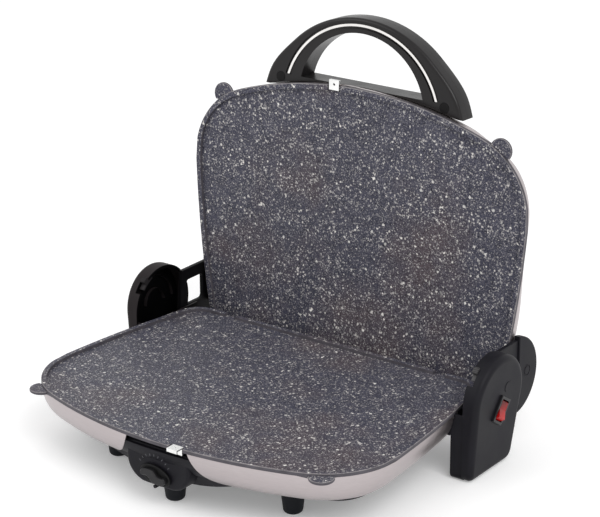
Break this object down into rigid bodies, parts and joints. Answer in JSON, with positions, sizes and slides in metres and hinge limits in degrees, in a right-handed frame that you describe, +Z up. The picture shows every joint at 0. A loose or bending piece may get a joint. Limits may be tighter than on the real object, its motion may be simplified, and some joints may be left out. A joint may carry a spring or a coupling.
{
  "type": "sandwich maker",
  "caption": "Table-top sandwich maker with a hinged lid, speckled rimmed plates, steel shells, an arched handle, side hinge towers, a dial and a rocker switch.",
  "frame": {"origin": "middle of the open machine's bounding box, on the table that its feet stand on", "axes": "+X to the machine's right as its user sees it, along its widest side; +Y to the back; +Z up"},
  "size_m": [0.3476, 0.2916, 0.3217],
  "materials": {
    "steel_skin": "satin brushed stainless steel",
    "stone_coating": "dark blue-grey speckled non-stick coating on die-cast aluminium",
    "black_plastic": "fine-grained black moulding",
    "gloss_black": "smooth black",
    "foot_plastic": "black moulding",
    "heater_steel": "dull sheathed tube",
    "reflector_steel": "bright sheet",
    "inner_steel": "plated steel",
    "clip_steel": "spring sheet steel",
    "bright_strip": "polished metal inlay",
    "red_plastic": "translucent red",
    "grey_plastic": "light grey, ribbed",
    "white_plastic": "white moulding",
    "wire_sleeve": "heat-proof white sleeve",
    "lamp_lens": "clear amber lens"
  },
  "bodies": {
    "base": {"lower_shell": "steel_skin", "base_pan": "black_plastic", "lower_plate": "stone_coating", "lower_seat_ring": "black_plastic", "lower_heater": "heater_steel", "lower_reflector": "reflector_steel", "control_housing": "black_plastic", "thermostat": "inner_steel", "indicator_lens": "lamp_lens", "front_left_foot": "foot_plastic", "front_right_foot": "foot_plastic", "front_centre_foot": "foot_plastic", "right_tower_cover": "black_plastic", "left_tower_cover": "black_plastic", "right_tower_housing": "black_plastic", "left_tower_housing": "black_plastic", "right_side_bracket": "black_plastic", "left_side_bracket": "black_plastic", "right_hinge_pin": "inner_steel", "left_hinge_pin": "inner_steel", "tower_caps": "black_plastic", "switch_body": "gloss_black", "cord_gland": "black_plastic", "tower_screws": "inner_steel", "terminal_block": "white_plastic", "thermal_fuse": "inner_steel", "wiring": "wire_sleeve"},
    "lid": {"upper_shell": "steel_skin", "upper_plate": "stone_coating", "upper_seat_ring": "black_plastic", "upper_heater": "heater_steel", "upper_reflector": "reflector_steel", "handle_front": "black_plastic", "handle_back": "black_plastic", "handle_strip": "bright_strip", "handle_caps": "black_plastic", "handle_screws": "inner_steel", "right_arm": "black_plastic", "left_arm": "black_plastic", "right_arm_cover": "black_plastic", "left_arm_cover": "black_plastic", "arm_caps": "black_plastic"},
    "knob": {"thermostat_knob": "black_plastic", "thermostat_shaft": "inner_steel"},
    "rocker": {"rocker": "red_plastic"},
    "lower_clip": {"lower_clip": "clip_steel"},
    "upper_clip": {"upper_clip": "clip_steel"},
    "right_catch": {"right_catch": "grey_plastic"},
    "left_catch": {"left_catch": "grey_plastic"}
  },
  "joints": [
    {"name": "lid_hinge", "type": "hinge", "parent": "base", "child": "lid", "pos_m": [-0.00067, 0.08392, 0.036], "axis": [1, 0, 0], "range_deg": [0, 92.6]},
    {"name": "thermostat_turn", "type": "hinge", "parent": "base", "child": "knob", "pos_m": [-0.00067, -0.14018, 0.0276], "axis": [0, 1, 0], "range_deg": [0, 270]},
    {"name": "rocker_tilt", "type": "hinge", "parent": "base", "child": "rocker", "pos_m": [0.16773, 0.06232, 0.05034], "axis": [-0.038, 0.8387, -0.5433], "range_deg": [0, 18]},
    {"name": "lower_clip_release", "type": "slide", "parent": "base", "child": "lower_clip", "axis": [0, -1, 0], "range_m": [0, 0.002], "stiffness_N_per_m": 400, "springref_m": -0.001},
    {"name": "upper_clip_release", "type": "slide", "parent": "lid", "child": "upper_clip", "axis": [0, 0.0454, 0.999], "range_m": [0, 0.002], "stiffness_N_per_m": 400, "springref_m": -0.001},
    {"name": "right_catch_slide", "type": "hinge", "parent": "base", "child": "right_catch", "pos_m": [0.16033, 0.06182, 0.06], "axis": [1, 0, 0], "range_deg": [0, 16]},
    {"name": "left_catch_slide", "type": "hinge", "parent": "base", "child": "left_catch", "pos_m": [-0.16167, 0.06182, 0.06], "axis": [1, 0, 0], "range_deg": [0, 16]}
  ]
}
